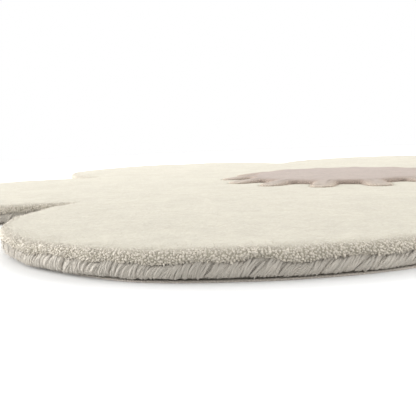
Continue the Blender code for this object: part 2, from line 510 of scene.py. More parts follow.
def skin(rings, closed=False, capped=False):
    """Points and faces of a skin over rings, each with as many points as the next, or twice or half."""
    starts = np.concatenate([[0], np.cumsum([len(r) for r in rings])]).astype(int)
    faces = []
    pairs = [(k, k + 1) for k in range(len(rings) - 1)] + ([(len(rings) - 1, 0)] if closed else [])
    for a, b in pairs:
        faces += faces_between(len(rings[a]), len(rings[b]), starts[a], starts[b])
    points = np.vstack(rings)
    if capped:
        for k, r in ((0, rings[0]), (len(rings) - 1, rings[-1])):
            i = starts[k] + np.arange(len(r))
            j = starts[k] + (np.arange(len(r)) + 1) % len(r)
            faces.append(np.column_stack([i, j, np.full(len(r), len(points))]))
            points = np.vstack([points, r.mean(0)])
    return points, [face for group in faces for face in group.tolist()]


def mesh_of(name, points, faces, outwards=True):
    """A smooth mesh, with its faces turned outwards where it is closed."""
    mesh = bpy.data.meshes.new(name)
    mesh.from_pydata(points.tolist(), [], faces)
    if outwards:
        bm = bmesh.new()
        bm.from_mesh(mesh)
        bmesh.ops.recalc_face_normals(bm, faces=bm.faces)
        bm.to_mesh(mesh)
        bm.free()
    mesh.shade_smooth()
    return mesh


def object_of(name, data):
    """An object at the origin, linked to the scene."""
    made = bpy.data.objects.new(name, data)
    bpy.context.scene.collection.objects.link(made)
    return made


def body_of(name, rings, **how):
    """An object with a closed skin over rings."""
    return object_of(name, mesh_of(name, *skin(rings, **how)))


def marked(mesh, marks):
    """The mesh, with numbers kept for its points under their names."""
    for name, values in marks.items():
        mesh.attributes.new(name, "FLOAT", "POINT").data.foreach_set("value", values)
    return mesh


def dressed(piece, slot, *nodes):
    """The piece rides on the rug's one body and stands for CAD nodes, which are hidden; slot is not
    used.
    """
    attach(piece, "root")
    if nodes:
        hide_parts(*nodes)


class Nodes:
    """A node tree's nodes, added and joined one by one."""

    def __init__(self, tree):
        self.tree = tree

    def add(self, kind, settings=None, **inputs):
        """A node with settings, and inputs given by name as values or as other nodes' outputs."""
        node = self.tree.nodes.new(kind)
        for key, value in (settings or {}).items():
            setattr(node, key, value)
        for key, value in inputs.items():
            self.feed(self.socket(node, key), value)
        return node

    def socket(self, node, key):
        """A node's open input by its name, with _ for a space, or by its place as in at_1."""
        if key.startswith("at_"):
            return node.inputs[int(key[3:])]
        name = key.replace("_", " ")
        return next(s for s in node.inputs if s.name.lower() == name.lower() and s.enabled)

    def feed(self, socket, value):
        """Give an input a value or another node's output."""
        if isinstance(value, bpy.types.NodeSocket):
            self.tree.links.new(value, socket)
        else:
            socket.default_value = value

    def math(self, operation, first, second):
        """The output of a sum on two numbers."""
        return self.add("ShaderNodeMath", {"operation": operation}, at_0=first, at_1=second).outputs[0]

    def vector(self, operation, first, second=None, **more):
        """The output of a sum on directions or places."""
        inputs = {"at_0": first, **more}
        if second is not None:
            inputs["at_1"] = second
        return self.add("ShaderNodeVectorMath", {"operation": operation}, **inputs).outputs[0]

    def mark(self, name):
        """The numbers that a guide or a piece carries under a name."""
        kind = {"data_type": "FLOAT"}
        return self.add("GeometryNodeInputNamedAttribute", kind, Name=name).outputs["Attribute"]

    def alike(self, value):
        """Three numbers that are the same, as a direction or a grey."""
        return self.add("ShaderNodeCombineXYZ", X=value, Y=value, Z=value).outputs[0]

    def toned(self, colour, amount, low, high, most=1.0):
        """A colour made lighter or darker, from low to high, as amount goes from 0 to most."""
        ends = {"From_Max": most, "To_Min": low, "To_Max": high}
        span = self.add("ShaderNodeMapRange", None, Value=amount, **ends)
        return self.vector("MULTIPLY", colour, self.alike(span.outputs[0]))

    def random(self, kind, low, high, seed):
        """A random number, whole number or direction for each point."""
        kinds = {"data_type": kind}
        node = self.add("FunctionNodeRandomValue", kinds, Min=low, Max=high, Seed=seed)
        return next(s for s in node.outputs if s.enabled)

    def stood(self, points, things, rotation, scale, seed):
        """One of the things, picked at random, on each of the points."""
        kinds = self.add("GeometryNodeJoinGeometry")
        for thing in reversed(things):
            info = self.add("GeometryNodeObjectInfo", at_0=thing, As_Instance=True)
            self.feed(kinds.inputs[0], info.outputs["Geometry"])
        return self.add(
            "GeometryNodeInstanceOnPoints",
            Points=points,
            Instance=kinds.outputs[0],
            Pick_Instance=True,
            Instance_Index=self.random("INT", 0, len(things) - 1, seed + 1),
            Rotation=rotation,
            Scale=scale,
        ).outputs[0]

    def finished(self, instances, finish, sink, seed):
        """Mark each instance with its own shade, make all of them real and give them the finish."""
        shaded = self.add(
            "GeometryNodeStoreNamedAttribute",
            {"data_type": "FLOAT", "domain": "INSTANCE"},
            Geometry=instances,
            Name="shade",
            Value=self.random("FLOAT", 0.0, 1.0, seed + 2),
        )
        real = self.add("GeometryNodeRealizeInstances", Geometry=shaded.outputs[0])
        made = self.add("GeometryNodeSetMaterial", Geometry=real.outputs[0], Material=finish)
        self.feed(sink.inputs[0], made.outputs[0])


SOCKETS = {float: "NodeSocketFloat", int: "NodeSocketInt", bpy.types.Material: "NodeSocketMaterial"}


def geometry_tree(name, values):
    """A geometry tree with an input for each named value, its Nodes, its input and its output node."""
    tree = bpy.data.node_groups.new(name, "GeometryNodeTree")
    tree.interface.new_socket("Geometry", in_out="INPUT", socket_type="NodeSocketGeometry")
    tree.interface.new_socket("Geometry", in_out="OUTPUT", socket_type="NodeSocketGeometry")
    for label, value in values.items():
        tree.interface.new_socket(label, in_out="INPUT", socket_type=SOCKETS[type(value)])
    nodes = Nodes(tree)
    return tree, nodes, nodes.add("NodeGroupInput"), nodes.add("NodeGroupOutput")


def result_of(guide, tree, values, name, things):
    """What a geometry tree makes from a guide, as a new object; the guide and the things go."""
    modifier = guide.modifiers.new(name, "NODES")
    modifier.node_group = tree
    for item in tree.interface.items_tree:
        if item.in_out == "INPUT" and item.name in values:
            modifier[item.identifier] = values[item.name]
    graph = bpy.context.evaluated_depsgraph_get()
    mesh = bpy.data.meshes.new_from_object(guide.evaluated_get(graph), depsgraph=graph)
    guide.modifiers.remove(modifier)
    for spent in (guide, *things):
        bpy.data.objects.remove(spent)
    bpy.data.node_groups.remove(tree)
    mesh.name = name
    mesh.shade_smooth()
    return object_of(name, mesh)


def scattered(name, guide, things, material, seed, spacing, tilt, sizes):
    """Things of a few kinds stood all over a guide's faces as its marks say, each turned and sized.

    The guide's marks are stand, a thing's size, rise, how far it leans up, and sink, how deep it sits.
    """
    values = {
        "Spacing": spacing,
        "Tilt": tilt,
        "Smallest": sizes[0],
        "Largest": sizes[1],
        "Seed": seed,
        "Finish": material,
    }
    tree, nodes, source, sink = geometry_tree(name + "_tree", values)
    given = source.outputs
    spots = nodes.add(
        "GeometryNodeDistributePointsOnFaces",
        {"distribute_method": "POISSON"},
        Mesh=given["Geometry"],
        Distance_Min=given["Spacing"],
        Density_Max=TRIALS / spacing**2,
        Seed=given["Seed"],
    )
    normal = spots.outputs["Normal"]
    depth = nodes.math("MULTIPLY", nodes.mark("sink"), -1.0)
    inwards = nodes.vector("SCALE", normal, Scale=depth)
    rooted = nodes.add("GeometryNodeSetPosition", Geometry=spots.outputs["Points"], Offset=inwards)
    up = nodes.add("ShaderNodeCombineXYZ", X=0.0, Y=0.0, Z=nodes.mark("rise"))
    way = nodes.vector("ADD", normal, up.outputs[0])
    stance = nodes.add("FunctionNodeAlignRotationToVector", {"axis": "Z"}, Vector=way)
    tilt_back = nodes.math("MULTIPLY", given["Tilt"], -1.0)
    low = nodes.add("ShaderNodeCombineXYZ", X=tilt_back, Y=tilt_back, Z=-math.pi)
    high = nodes.add("ShaderNodeCombineXYZ", X=given["Tilt"], Y=given["Tilt"], Z=math.pi)
    spin = nodes.random("FLOAT_VECTOR", low.outputs[0], high.outputs[0], given["Seed"])
    turn = {"rotation_space": "LOCAL"}
    lean = nodes.add("FunctionNodeRotateRotation", turn, Rotation=stance.outputs[0], Rotate_By=spin)
    size = nodes.random("FLOAT", given["Smallest"], given["Largest"], given["Seed"])
    sized = nodes.math("MULTIPLY", size, nodes.mark("stand"))
    stood = nodes.stood(rooted.outputs[0], things, lean.outputs[0], sized, seed)
    nodes.finished(stood, given["Finish"], sink, seed)
    return result_of(guide, tree, values, name, things)


def finish_of(name):
    """A new material, its Nodes and its shader."""
    material = bpy.data.materials.new(name)
    material.use_nodes = True
    return material, Nodes(material.node_tree), material.node_tree.nodes["Principled BSDF"]


def wool(name, colour, worked):
    """Wool whose tone, sheen and fine bump are as worked says, a table such as PILE_FINISH."""
    material, nodes, shader = finish_of(name)
    place = nodes.add("ShaderNodeTexCoord").outputs["Object"]

    def noise(scale, detail, where=place):
        return nodes.add(
            "ShaderNodeTexNoise", None, Vector=where, Scale=scale, Detail=detail, Roughness=0.6
        ).outputs["Fac"]

    tone = nodes.add("ShaderNodeRGB").outputs[0]
    tone.default_value = (*colour, 1.0)
    for scale, low, high in worked["mottles"]:
        tone = nodes.toned(tone, noise(scale, 3.0), low, high)
    drawn = nodes.vector("MULTIPLY", place, (1.0, 1.0, worked["drawn"]))
    scale, low, high = worked["streaks"]
    tone = nodes.toned(tone, noise(scale, 2.0, drawn), low, high)
    if "paler" in worked:
        start, end, most, other = worked["paler"]
        flat = nodes.vector("MULTIPLY", place, (1.0, 1.0, 0.0))
        away = nodes.add("ShaderNodeVectorMath", {"operation": "LENGTH"}, at_0=flat).outputs["Value"]
        ends = {"From_Min": start, "From_Max": end, "To_Max": most}
        share = nodes.add("ShaderNodeMapRange", None, Value=away, **ends).outputs[0]
        kind = {"data_type": "RGBA"}
        blend = nodes.add("ShaderNodeMix", kind, Factor=share, A=tone, B=(*other, 1.0))
        tone = next(s for s in blend.outputs if s.enabled)
    height = noise(worked["bump_scale"], 4.0)
    if "plies" in worked:
        plies, turns, low, high = worked["plies"]
        spot = nodes.add("ShaderNodeUVMap", {"uv_map": "yarn"}).outputs[0]
        spot = nodes.add("ShaderNodeSeparateXYZ", None, Vector=spot).outputs
        around = nodes.math("MULTIPLY", spot[0], plies)
        twisted = nodes.math("ADD", around, nodes.math("MULTIPLY", spot[1], turns))
        ridge = nodes.math("PINGPONG", twisted, 0.5)
        tone = nodes.toned(tone, nodes.math("MULTIPLY", ridge, 2.0), low, high)
        height = nodes.math("ADD", height, ridge)
        tone = nodes.toned(tone, spot[1], *worked["climb"])
    for attribute, low, high in worked["marks"]:
        mark = nodes.add("ShaderNodeAttribute", {"attribute_name": attribute})
        tone = nodes.toned(tone, mark.outputs["Fac"], low, high)
    nodes.feed(shader.inputs["Base Color"], tone)
    shader.inputs["Roughness"].default_value = 0.95
    shader.inputs["Specular IOR Level"].default_value = 0.15
    shader.inputs["Sheen Weight"].default_value = worked["sheen"]
    shader.inputs["Sheen Roughness"].default_value = 0.55
    strength, depth = worked["bump"], worked["bump_depth"]
    rough = nodes.add("ShaderNodeBump", None, Height=height, Strength=strength, Distance=depth)
    nodes.feed(shader.inputs["Normal"], rough.outputs[0])
    return material


# A finish's mottles are how fine they are, in lumps to the metre, and the tone at their two ends.
# The streaks are like the mottles, drawn out upwards as drawn says. The plies are how many there are,
# how often they turn along the yarn, and the tone in their grooves and on their ridges, the darker
# grooves being painted shade. The climb is the tone at the yarn's foot and at its inner end: painted
# light at the foot and painted shade at the inner end, which tucks under the pile's lip. Each mark names
# a number that the piece carries and says the tone where it is 0 and where it is 1.
PILE_FINISH = {
    "mottles": ((30.0, 0.86, 1.10), (110.0, 0.84, 1.08)),
    "streaks": (420.0, 0.80, 1.14),
    "drawn": 1.0,
    "marks": (),
    "sheen": 0.1,
    "bump_scale": 380.0,
    "bump": 0.9,
    "bump_depth": 0.0010,
}
PAINTED_SIDE_TINT = (1.01, 1.0, 1.06)  # painted light: the pile's side is a little lighter and cooler in colour than its top, though the same yarn
TUFT_FINISH = {
    "mottles": ((24.0, 0.95, 1.05), (170.0, 0.80, 1.20)),
    "streaks": (1100.0, 0.95, 1.05),
    "drawn": 0.35,
    # tip and level are painted light: the tufts' roots and the lower side's tufts are made lighter
    # against the shade between them.
    "marks": (("shade", 0.97, 1.04), ("tip", 1.35, 0.95), ("level", 1.22, 1.0)),
    "sheen": 0.1,
    "bump_scale": 1500.0,
    "bump": 0.2,
    "bump_depth": 0.0003,
}
# Painted light as in TUFT_FINISH: the mauve tufts' roots and the low tufts of the centre's wall are made
# lighter against their shade.
MAUVE_MARKS = (("shade", 0.97, 1.04), ("tip", 1.15, 1.0), ("level", 1.9, 0.97))
# Painted light and shade in the binding yarn: darker in the plies' grooves and towards the inner end
# under the pile's lip, lighter at the foot.
YARN_FINISH = {
    "plies": (3.0, 2.5, 0.95, 1.05),
    "climb": (1.10, 0.86),
    "mottles": ((24.0, 0.95, 1.05), (150.0, 0.95, 1.05)),
    "streaks": (1300.0, 0.94, 1.06),
    "drawn": 0.35,
    "marks": (("shade", 0.94, 1.05), ("packet", 0.96, 1.04)),
    "sheen": 0.1,
    "bump_scale": 1700.0,
    "bump": 0.3,
    "bump_depth": 0.0003,
}
CORE_FINISH = {key: YARN_FINISH[key] for key in PILE_FINISH} | {"marks": ()}


def swell(points):
    """The slow rise and sink of the pile's top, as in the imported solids."""
    x, y = points[:, 0], points[:, 1]
    slow = np.sin(13.0 * x + 1.1) * np.cos(11.0 * y - 0.4)
    ripple = 0.5 * np.sin(37.0 * x - 23.0 * y) + 0.4 * np.cos(29.0 * y + 17.0 * x)
    return SWELL * (slow + ripple)


def unevenness(points, seed):
    """How far the pile's top stands above or below its even height."""
    return swell(points) + layered(points, TOP_LUMPS, seed)


def turned_from(points, middle):
    """How many degrees round the rug some points lie from the angle middle."""
    angle = np.degrees(np.arctan2(points[:, 1], points[:, 0]))
    return (angle - middle + 180.0) % 360.0 - 180.0


def arch(share):
    """1 where share is 0, down to 0 where it is 1 or -1."""
    return np.clip(1 - share**2, 0, 1) ** 2


def lip_rise(points, seed):
    """How much the pile's lip stands above its even height over the binding."""
    rise = layered(points, LIP_LUMPS, seed + SEEDS["lip"])
    for middle, reach, high in LIP_ARCHES:
        away = np.radians(turned_from(points, middle)) * np.hypot(points[:, 0], points[:, 1])
        rise = rise + high * arch(away / reach)
    return rise


def turn_height(points, seed):
    """How many times as tall as in YARN_TURN the yarn turns are at some points of the edge."""
    return 1 + lip_rise(points, seed) / YARN_TURN[-1][1]


def tucked(points):
    """How much farther than usual the backing stays inside the outline."""
    more = 0.0
    for middle, reach, deep in BACKING_TUCKS:
        more = more + deep * arch(turned_from(points, middle) / reach)
    return more


def pile_edge_rings(line, count, seed):
    """The cream pile's edge as rings, with its line a little loose, from foot to top."""
    push = layered(line[0], LINE_LUMPS, seed + SEEDS["line"])
    lift = lip_rise(line[0], seed)
    rings = []
    for inset, height, loose in smooth_rows(PILE_EDGE[1:], count):
        loose = max(0.0, loose)
        made = ring(line, inset + loose * push, height + loose**LIFT_FADE * lift)
        share = max(0.0, (height - UNEVEN_FOOT) / UNEVEN_SPAN)
        made[:, 2] += share**2 * unevenness(made, seed)
        rings.append(made)
    return rings


def tuft(name, seed, width, root, proud, sides):
    """One lock of cut yarn as a closed, bent bud that stands on its root, with its tip marked."""
    rng = np.random.default_rng(seed)
    angle = 2 * math.pi * (np.arange(sides) + rng.uniform(0, 0.4, sides)) / sides
    bend = 0.3 * width * rng.uniform(-1, 1, 2)
    reach = 0.5 * width * rng.uniform(0.75, 1.2, sides)
    height = proud * rng.uniform(0.3, 0.5, sides)
    belly = np.column_stack([reach * np.cos(angle), reach * np.sin(angle), height])
    points = np.vstack([[[0.0, 0.0, -root]], belly, [[*bend, proud]]])
    faces = []
    for i in range(sides):
        j = (i + 1) % sides
        faces.append([0, 1 + j, 1 + i])
        faces.append([1 + i, 1 + j, 1 + sides])
    tips = [0.0] + [0.45] * sides + [1.0]
    return object_of(name, marked(mesh_of(name, points, faces), {"tip": tips}))


def locks_of(name, count, seed, **shape):
    """A few tufts of one kind."""
    return [tuft(f"{name}_{k}", seed + k, **shape) for k in range(count)]


def fibre(name, length, radius, bend, steps):
    """One loose wool fibre as a thin, bent, closed spike."""
    angle = 2 * math.pi * np.arange(3) / 3
    rings = []
    for k in range(steps):
        share = k / steps
        thick = radius * (1.0 - 0.5 * share)
        middle = bend * length * share**2
        high = np.full(3, length * share)
        rings.append(np.column_stack([middle + thick * np.cos(angle), thick * np.sin(angle), high]))
    points, faces = skin(rings)
    tip, foot = len(points), len(points) + 1
    points = np.vstack([points, [[bend * length, 0.0, length]], [[0.0, 0.0, -2 * radius]]])
    last = 3 * (steps - 1)
    for i in range(3):
        j = (i + 1) % 3
        faces.append([last + i, last + j, tip])
        faces.append([j, i, foot])
    return object_of(name, mesh_of(name, points, faces))


def guide_of(name, rings, marks, first=0, count=None):
    """An open band over rings, or over count steps of them from point first on, with its marks.

    marks holds, for each attribute's name, one number for each ring.
    """
    closed = count is None
    count = len(rings[0]) if closed else count
    across = count if closed else count + 1
    parts = [np.roll(r, -first, axis=0)[:across] for r in rings]
    i = np.arange(count)
    j = (i + 1) % across
    faces = []
    for k in range(len(parts) - 1):
        a, b = k * across, (k + 1) * across
        faces += np.column_stack([a + i, a + j, b + j, b + i]).tolist()
    mesh = mesh_of(name, np.vstack(parts), faces, outwards=False)
    each = {mark: np.repeat(values, across) for mark, values in marks.items()}
    return object_of(name, marked(mesh, each))


def tuft_marks(rings, lift=0.0):
    """How the tufts stand on each ring from its height, as EDGE_TUFTS says, and their level for the
    painted light.
    """
    table = np.array(EDGE_TUFTS)
    high = np.array([r[:, 2].mean() for r in rings]) - lift
    size, rise, sink = (np.interp(high, table[:, 0], table[:, k]) for k in (1, 2, 3))
    level = np.interp(high, TONE_SPAN, (0.0, 1.0))
    return {"stand": size, "rise": rise, "sink": sink, "level": level}


def even_marks(rings, rise, sink):
    """Marks that are the same on each ring, for things of one size."""
    many = np.ones(len(rings))
    return {"stand": many, "rise": rise * many, "sink": sink * many}


class RUG_OT_backing(bpy.types.Operator):
    """Make the backing cloth that lies on the floor"""

    bl_idname = "rug.backing"
    bl_label = "Backing cloth"

    def execute(self, context):
        rug, yarn = context.scene.rug_sizes, context.scene.rug_yarn
        line = evenly(flower_line(rug), BACKING_POINTS, rug.backing_inset)
        fray = layered(line[0], (BACKING_FRAY,), yarn.seed + SEEDS["backing"])
        inset = rug.backing_inset + fray + tucked(line[0])
        rings = [
            ring(line, inset + more, share * rug.backing_thick + height)
            for more, share, height in BACKING_EDGE
        ]
        cloth = body_of("backing_cloth", rings, capped=True)
        cloth.data.set_sharp_from_angle(angle=math.radians(50.0))
        cloth.data.materials.append(backing_finish(yarn))
        dressed(cloth, "backing_cloth", "backing")
        return {"FINISHED"}


def backing_finish(yarn):
    """Coarse cloth: two crossing sets of threads in its bump and colour."""
    material, nodes, shader = finish_of("backing_cloth")
    place = nodes.add("ShaderNodeTexCoord").outputs["Object"]
    threads = []
    for direction in ("X", "Y"):
        bands = {"bands_direction": direction, "wave_profile": "SIN"}
        wave = nodes.add("ShaderNodeTexWave", bands, Vector=place, Scale=190.0, Distortion=0.6)
        threads.append(wave.outputs["Fac"])
    cross = nodes.math("MULTIPLY", *threads)
    dust = nodes.add("ShaderNodeTexNoise", None, Vector=place, Scale=60.0, Detail=4.0).outputs["Fac"]
    tone = nodes.add("ShaderNodeRGB").outputs[0]
    tone.default_value = (*yarn.backing, 1.0)
    tone = nodes.toned(tone, nodes.math("ADD", cross, dust), 0.75, 1.25, most=2.0)
    nodes.feed(shader.inputs["Base Color"], tone)
    shader.inputs["Roughness"].default_value = 0.95
    bump = nodes.add("ShaderNodeBump", None, Height=cross, Strength=0.7, Distance=0.0004)
    nodes.feed(shader.inputs["Normal"], bump.outputs[0])
    return material


class RUG_OT_cream_pile(bpy.types.Operator):
    """Make the body of the petals' cream pile"""

    bl_idname = "rug.cream_pile"
    bl_label = "Cream pile"

    def execute(self, context):
        rug, yarn = context.scene.rug_sizes, context.scene.rug_yarn
        line = evenly(flower_line(rug), PILE_POINTS, PILE_INSET)
        edge = pile_edge_rings(line, PILE_EDGE_RINGS, yarn.seed)
        low = PILE_EDGE[0][1]
        foot = ring(line, PILE_EDGE[0][0], low)
        centre = evenly(centre_line(rug), OPENING_POINTS)
        shoulder = ring(centre, -OPENING_SHOULDER, rug.pile_top)
        inner = []
        shares = (np.arange(1, PILE_TOP_STEPS) / PILE_TOP_STEPS) ** PILE_TOP_GATHER
        for k, share in enumerate(shares):
            made = between(edge[-1][::2], shoulder, share)
            made[:, 2] = rug.pile_top + unevenness(made, yarn.seed)
            inner.append(made if k < PILE_FINE_RINGS else made[::2])
        shoulder = shoulder[::2]
        shoulder[:, 2] = rug.pile_top + unevenness(shoulder, yarn.seed)
        half = centre[0][::2], centre[1][::2]
        dip = ring(half, -GAP, rug.pile_top - OPENING_DIP)
        wall = ring(half, -GAP, low)
        under = between(ring(centre, -GAP, low), foot[::2], 0.5)
        pile = body_of("cream_pile", [foot, *edge, *inner, shoulder, dip, wall, under], closed=True)
        pile.data.materials.append(wool("cream_wool", yarn.cream, PILE_FINISH))
        dressed(pile, "cream_pile", "pile_field")
        return {"FINISHED"}


class RUG_OT_pile_edge(bpy.types.Operator):
    """Stand the cut tufts all along the cream pile's rounded edge"""

    bl_idname = "rug.pile_edge"
    bl_label = "Pile edge tufts"

    def execute(self, context):
        rug, yarn = context.scene.rug_sizes, context.scene.rug_yarn
        line = evenly(flower_line(rug), TUFT_LINE_POINTS, PILE_INSET)
        rings = pile_edge_rings(line, TUFT_LINE_RINGS, yarn.seed)[1:]
        marks = tuft_marks(rings)
        # Painted light: the side's tufts are the cream with the painted side tint.
        colour = [c * t for c, t in zip(yarn.cream, PAINTED_SIDE_TINT)]
        finish = wool("cream_tufts", colour, TUFT_FINISH)
        steps = len(rings[0]) // PARTS
        shape = {"width": yarn.tuft_width, "root": 0.0022, "proud": yarn.tuft_proud, "sides": 5}
        place = {"spacing": yarn.tuft_spacing, "tilt": 0.35, "sizes": (0.75, 1.25)}
        for part in range(PARTS):
            guide = guide_of("edge_guide", rings, marks, part * steps, steps)
            locks = locks_of("lock", 6, yarn.seed, **shape)
            seed = yarn.seed + SEEDS["edge tufts"] + part
            tufts = scattered(f"pile_edge_{part + 1}", guide, locks, finish, seed, **place)
            dressed(tufts, "cream_pile")
        lip = [r for r in rings if r[:, 2].mean() < LIP_TOP]
        guide = guide_of("lip_guide", lip, even_marks(lip, rise=-1.2, sink=0.0002))
        seed = yarn.seed + SEEDS["hanging locks"]
        shape = {"width": 0.7 * yarn.tuft_width, "root": 0.0015, "proud": yarn.loose_lock, "sides": 5}
        locks = locks_of("loose", 5, seed, **shape)
        # Painted light: the hanging locks are the side's cream made lighter still, as locks that catch
        # the light.
        colour = [1.08 * c * t for c, t in zip(yarn.cream, PAINTED_SIDE_TINT)]
        finish = wool("loose_locks", colour, TUFT_FINISH)
        seed = yarn.seed + SEEDS["hanging tufts"]
        place = {"spacing": yarn.loose_spacing, "tilt": 0.7, "sizes": (0.5, 1.2)}
        loose = scattered("loose_locks", guide, locks, finish, seed, **place)
        dressed(loose, "cream_pile")
        return {"FINISHED"}


def knob_share(rug, points):
    """0 over the centre's disc, and from its rim on up to 1 at the knobs' ends."""
    reach = np.linalg.norm(points[:, :2], axis=1)
    return np.clip((reach - rug.disc_radius) / (rug.knob_reach - rug.disc_radius), 0, 1)


class RUG_OT_centre(bpy.types.Operator):
    """Make the raised mauve centre with its knobs"""

    bl_idname = "rug.centre"
    bl_label = "Raised centre"

    def execute(self, context):
        rug, yarn = context.scene.rug_sizes, context.scene.rug_yarn
        seed = yarn.seed + SEEDS["centre"]
        line = evenly(centre_line(rug), CENTRE_POINTS, CENTRE_INSET)
        drop = rug.knob_rise - rug.centre_rise
        out = knob_share(rug, line[0])
        rise = rug.centre_rise + drop * out
        edge = []
        for inset, base, share in smooth_rows(CENTRE_EDGE[1:], CENTRE_EDGE_RINGS):
            made = ring(line, inset * (1 + KNOB_EASE * out), base + np.clip(share, 0, 1) * rise)
            made[:, 2] += max(0.0, share) * unevenness(made, seed)
            edge.append(made)
        foot = ring(line, 0.0, CENTRE_EDGE[0][1])
        angle = first_knob(rug) + 2 * math.pi * np.arange(len(line[0])) / len(line[0])
        hub = np.column_stack([np.cos(angle), np.sin(angle), np.zeros(len(angle))]) * CENTRE_HUB
        inner = []
        for k in range(1, CENTRE_TOP_STEPS):
            made = between(edge[-1], hub, k / CENTRE_TOP_STEPS)
            out = knob_share(rug, made)
            made[:, 2] = rug.pile_top + rug.centre_rise + drop * out
            made[:, 2] += CENTRE_CROWN * (1 - out) + unevenness(made, seed)
            inner.append(made[:: 2 if k <= CENTRE_FINE_RINGS else 4])
        pile = body_of("mauve_pile", [foot, *edge, *inner], capped=True)
        paler = {"paler": (rug.disc_radius - KNOB_FADE, rug.knob_reach, KNOB_PALER, yarn.cream)}
        pile.data.materials.append(wool("mauve_wool", yarn.mauve, {**PILE_FINISH, **paler}))
        dressed(pile, "mauve_pile", "centre_pile")
        guide = guide_of("centre_guide", edge, tuft_marks(edge, lift=0.0035))
        seed = yarn.seed + SEEDS["knob locks"]
        shape = {"width": 0.75 * yarn.tuft_width, "root": 0.0020, "proud": yarn.tuft_proud, "sides": 4}
        locks = locks_of("knob_lock", 4, seed, **shape)
        finish = wool("mauve_tufts", yarn.mauve, {**TUFT_FINISH, **paler, "marks": MAUVE_MARKS})
        seed = yarn.seed + SEEDS["centre tufts"]
        place = {"spacing": 1.2 * yarn.tuft_spacing, "tilt": 0.4, "sizes": (0.7, 1.1)}
        tufts = scattered("centre_edge", guide, locks, finish, seed, **place)
        dressed(tufts, "mauve_pile")
        return {"FINISHED"}


def tube(path, radius, sides):
    """Points and faces of a closed tube of yarn along a path that leaves the X axis free."""
    way = np.gradient(path, axis=0)
    way /= np.linalg.norm(way, axis=1, keepdims=True)
    side = np.array([1.0, 0.0, 0.0]) - way[:, :1] * way
    side /= np.linalg.norm(side, axis=1, keepdims=True)
    other = np.cross(way, side)
    angle = 2 * math.pi * np.arange(sides) / sides
    across, up = np.cos(angle)[:, None], np.sin(angle)[:, None]
    rings = [path[k] + radius[k] * (across * side[k] + up * other[k]) for k in range(len(path))]
    return skin(rings, capped=True)


def strand(name, yarn, seed):
    """One turn of edge yarn as a closed tube from the backing round to its inner end."""
    rng = np.random.default_rng(seed)
    rows = smooth_rows(YARN_TURN, TURN_STEPS)
    turn = rows[:, 2]
    bend = yarn.strand_bend * rng.uniform(0.3, 1.0)
    sway = 0.0003 * np.sin(5.0 * turn + rng.uniform(0, 6))
    along = bend * (turn**2 - 0.35) + sway
    out = rows[:, 0] - 0.0002 * rng.uniform(-1, 1) * np.sin(math.pi * turn)
    taper = np.interp(turn, [0, 0.1, 0.9, 1], [0.7, 1, 1, 0.7])
    thick = yarn.strand_radius * taper * rng.uniform(0.88, 1.1, len(turn))
    path = np.column_stack([along, out, rows[:, 1]])
    mesh = mesh_of(name, *tube(path, thick, TURN_SIDES))
    yarn_map = mesh.uv_layers.new(name="yarn")
    last = len(turn) - 1
    for face in mesh.polygons:
        seam = {v % TURN_SIDES for v in face.vertices} >= {0, TURN_SIDES - 1}
        for loop in face.loop_indices:
            climb, side = divmod(mesh.loops[loop].vertex_index, TURN_SIDES)
            side = TURN_SIDES if seam and side == 0 else side
            yarn_map.data[loop].uv = (side / TURN_SIDES, min(climb, last) / last)
    return object_of(name, mesh)


def strand_guide(name, yarn, line, part):
    """A part of the edge as one point for each yarn turn, bunched in packets that bow and lean.

    The points' marks are heading, the way along the edge, lean, packet, the packet's own shade, and
    tall, how much taller than usual a turn is.
    """
    places, ways = line
    count = len(places)
    rng = np.random.default_rng(yarn.seed + SEEDS["turns"])
    sizes = rng.integers(*PACKET_TURNS, count)
    ends = np.cumsum(sizes)
    own = np.searchsorted(ends, np.arange(count), side="right")
    across = (np.arange(count) - (ends - sizes)[own] + 0.5) / sizes[own] * 2 - 1
    packet = rng.uniform(0, 1, (5, count))[:, own]
    tangent = np.column_stack([-ways[:, 1], ways[:, 0]])
    bow = yarn.packet_bow * (0.4 + 0.9 * packet[0]) * (1 - across**2)
    bunch = -PACKET_GATHER * across * sizes[own] / 2 * yarn.strand_pitch
    places = places + bow[:, None] * ways + bunch[:, None] * tangent
    slow = lumps(places, WAVER_SIZE, yarn.seed + SEEDS["lean"])
    usual = yarn.strand_lean * (1 + 0.5 * slow + 0.5 * (2 * packet[1] - 1))
    lean = usual + PACKET_FAN * packet[2] * across
    heading = np.arctan2(tangent[:, 1], tangent[:, 0])
    chosen = slice(part * count // PARTS, (part + 1) * count // PARTS)
    tall = turn_height(line[0], yarn.seed)
    marks = {"heading": heading, "lean": lean, "packet": packet[4], "tall": tall}
    mesh = bpy.data.meshes.new(name)
    spots = np.column_stack([places, PACKET_LIFT * (2 * packet[3] - 1)])
    mesh.from_pydata(spots[chosen].tolist(), [], [])
    return object_of(name, marked(mesh, {mark: values[chosen] for mark, values in marks.items()}))


def along_edge(name, guide, things, material, seed, jitter, sizes):
    """Things of a few kinds set on a guide's points, turned to their heading and lean."""
    values = {
        "Jitter": jitter,
        "Smallest": sizes[0],
        "Largest": sizes[1],
        "Seed": seed,
        "Finish": material,
    }
    tree, nodes, source, sink = geometry_tree(name + "_tree", values)
    given = source.outputs
    low = nodes.alike(nodes.math("MULTIPLY", given["Jitter"], -1.0))
    stray = nodes.random("FLOAT_VECTOR", low, nodes.alike(given["Jitter"]), given["Seed"])
    aim = nodes.add("ShaderNodeCombineXYZ", X=0.0, Y=nodes.mark("lean"), Z=nodes.mark("heading"))
    turn = nodes.add("FunctionNodeEulerToRotation", Euler=nodes.vector("ADD", aim.outputs[0], stray))
    size = nodes.random("FLOAT", given["Smallest"], given["Largest"], given["Seed"])
    high = nodes.math("MULTIPLY", size, nodes.mark("tall"))
    tall = nodes.add("ShaderNodeCombineXYZ", X=size, Y=size, Z=high)
    stood = nodes.stood(given["Geometry"], things, turn.outputs[0], tall.outputs[0], seed)
    nodes.finished(stood, given["Finish"], sink, seed)
    return result_of(guide, tree, values, name, things)


